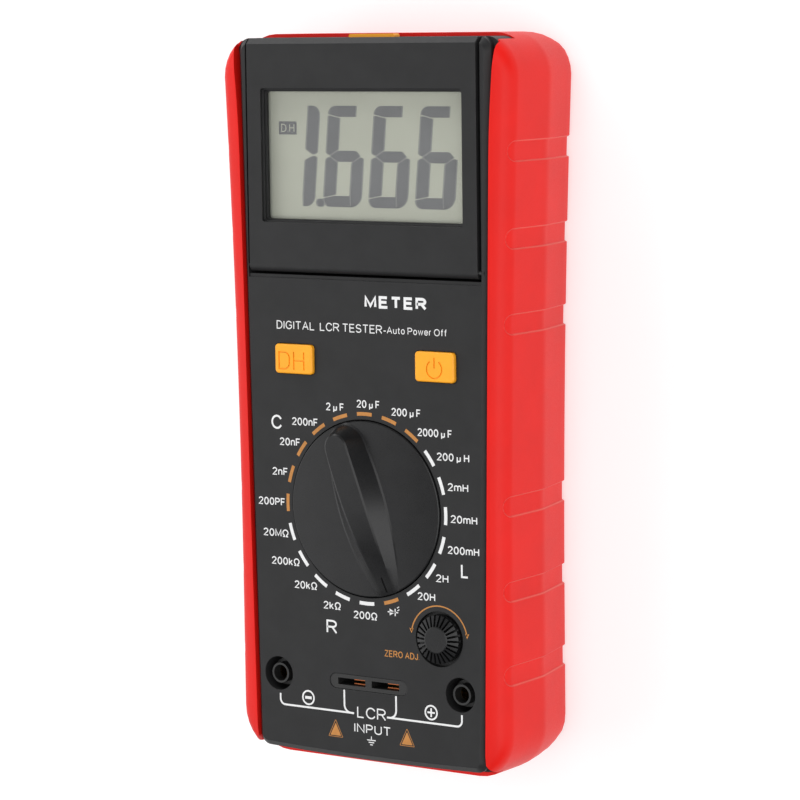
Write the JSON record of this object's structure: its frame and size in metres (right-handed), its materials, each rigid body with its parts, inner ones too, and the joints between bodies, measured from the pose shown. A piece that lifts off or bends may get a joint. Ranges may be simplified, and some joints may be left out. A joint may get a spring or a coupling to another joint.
{
  "type": "lcr meter",
  "caption": "Handheld component meter in a rubber boot: flip-up display, round range dial, zero knob, push buttons, test jacks and slots, tilt stand.",
  "frame": {"origin": "under the middle of the meter, on the surface its back lies on", "axes": "+X to the right across the face, +Y towards the display end, +Z out of the face"},
  "size_m": [0.0902, 0.19, 0.0439],
  "materials": {
    "boot_rubber": "semi-gloss moulded elastomer",
    "case_plastic": "fine matte spark texture",
    "stand_plastic": "matte moulded",
    "screw_steel": "zinc plated",
    "battery_can": "printed metal jacket",
    "snap_plastic": "moulded",
    "red_wire": "insulation",
    "black_wire": "insulation",
    "board_laminate": "solder mask",
    "chip_epoxy": "moulded epoxy",
    "capacitor_sleeve": "shrink sleeve",
    "film_epoxy": "dipped epoxy",
    "resistor_body": "lacquered",
    "can_steel": "pressed can",
    "fuse_glass": "clear tube",
    "contact_brass": "plated",
    "copper_leaf": "copper leaf",
    "switch_plastic": "moulded",
    "socket_plastic": "moulded",
    "flex_film": "polyimide",
    "knob_plastic": "fine satin",
    "rotor_plastic": "natural acetal",
    "ball_steel": "polished",
    "spring_steel": "drawn wire",
    "button_plastic": "satin moulded",
    "pin_steel": "ground",
    "strip_rubber": "conductive silicone",
    "reflector_film": "white film",
    "lcd_panel": "grey-green polariser",
    "clear_window": "clear acrylic"
  },
  "bodies": {
    "case": {"holster": "boot_rubber", "front_case": "case_plastic", "rear_case": "case_plastic", "battery_cover": "case_plastic", "cover_screw": "screw_steel", "case_screws": "screw_steel", "battery_9v": "battery_can", "battery_snap": "snap_plastic", "battery_lead_red": "red_wire", "battery_lead_black": "black_wire", "main_board": "board_laminate", "board_screws": "screw_steel", "measuring_chips": "chip_epoxy", "electrolytic_capacitors": "capacitor_sleeve", "film_capacitors": "film_epoxy", "resistors": "resistor_body", "crystal": "can_steel", "fuse": "fuse_glass", "fuse_clips": "contact_brass", "tact_switches": "switch_plastic", "jack_sleeves": "socket_plastic", "jack_contacts": "contact_brass", "test_slot_insert": "socket_plastic", "test_clips": "copper_leaf", "pot_body": "switch_plastic", "flex_socket": "socket_plastic", "flex_cable": "flex_film"},
    "range_dial_body": {"range_knob": "knob_plastic", "dial_rotor": "rotor_plastic", "rotor_contacts": "contact_brass", "detent_balls": "ball_steel", "detent_springs": "spring_steel"},
    "zero_adjust_body": {"zero_knob": "knob_plastic", "pot_shaft": "rotor_plastic"},
    "data_hold_body": {"data_hold_button": "button_plastic"},
    "power_body": {"power_button": "button_plastic"},
    "display_module": {"display_frame": "case_plastic", "hinge_pins": "pin_steel", "display_back": "case_plastic", "display_screws": "screw_steel", "display_board": "board_laminate", "driver_chip": "chip_epoxy", "contact_strips": "strip_rubber", "lcd_reflector": "reflector_film", "lcd_glass": "lcd_panel", "display_window": "clear_window", "latch_spring": "spring_steel"},
    "latch_body": {"display_latch": "button_plastic", "latch_hook": "button_plastic"},
    "stand_body": {"tilt_stand": "stand_plastic"}
  },
  "joints": [
    {"name": "display_tilt", "type": "hinge", "parent": "case", "child": "display_module", "pos_m": [0, 0.0351, 0.03695], "axis": [1, 0, 0], "range_deg": [0, 60]},
    {"name": "latch_press", "type": "slide", "parent": "display_module", "child": "latch_body", "axis": [0, -1, 0], "range_m": [0, 0.001], "stiffness_N_per_m": 400, "deforming": ["latch_spring"]},
    {"name": "range_dial", "type": "hinge", "parent": "case", "child": "range_dial_body", "pos_m": [0, -0.027, 0.034], "axis": [0, 0, 1], "continuous": true},
    {"name": "zero_adjust", "type": "hinge", "parent": "case", "child": "zero_adjust_body", "pos_m": [0.0223, -0.059, 0.034], "axis": [0, 0, 1], "range_deg": [-135, 135]},
    {"name": "data_hold_press", "type": "slide", "parent": "case", "child": "data_hold_body", "axis": [0, 0, -1], "range_m": [0, 0.0008], "stiffness_N_per_m": 500},
    {"name": "power_press", "type": "slide", "parent": "case", "child": "power_body", "axis": [0, 0, -1], "range_m": [0, 0.0008], "stiffness_N_per_m": 500},
    {"name": "stand_swing", "type": "hinge", "parent": "case", "child": "stand_body", "pos_m": [0, 0.027, 0.0046], "axis": [1, 0, 0], "range_deg": [0, 75]}
  ]
}
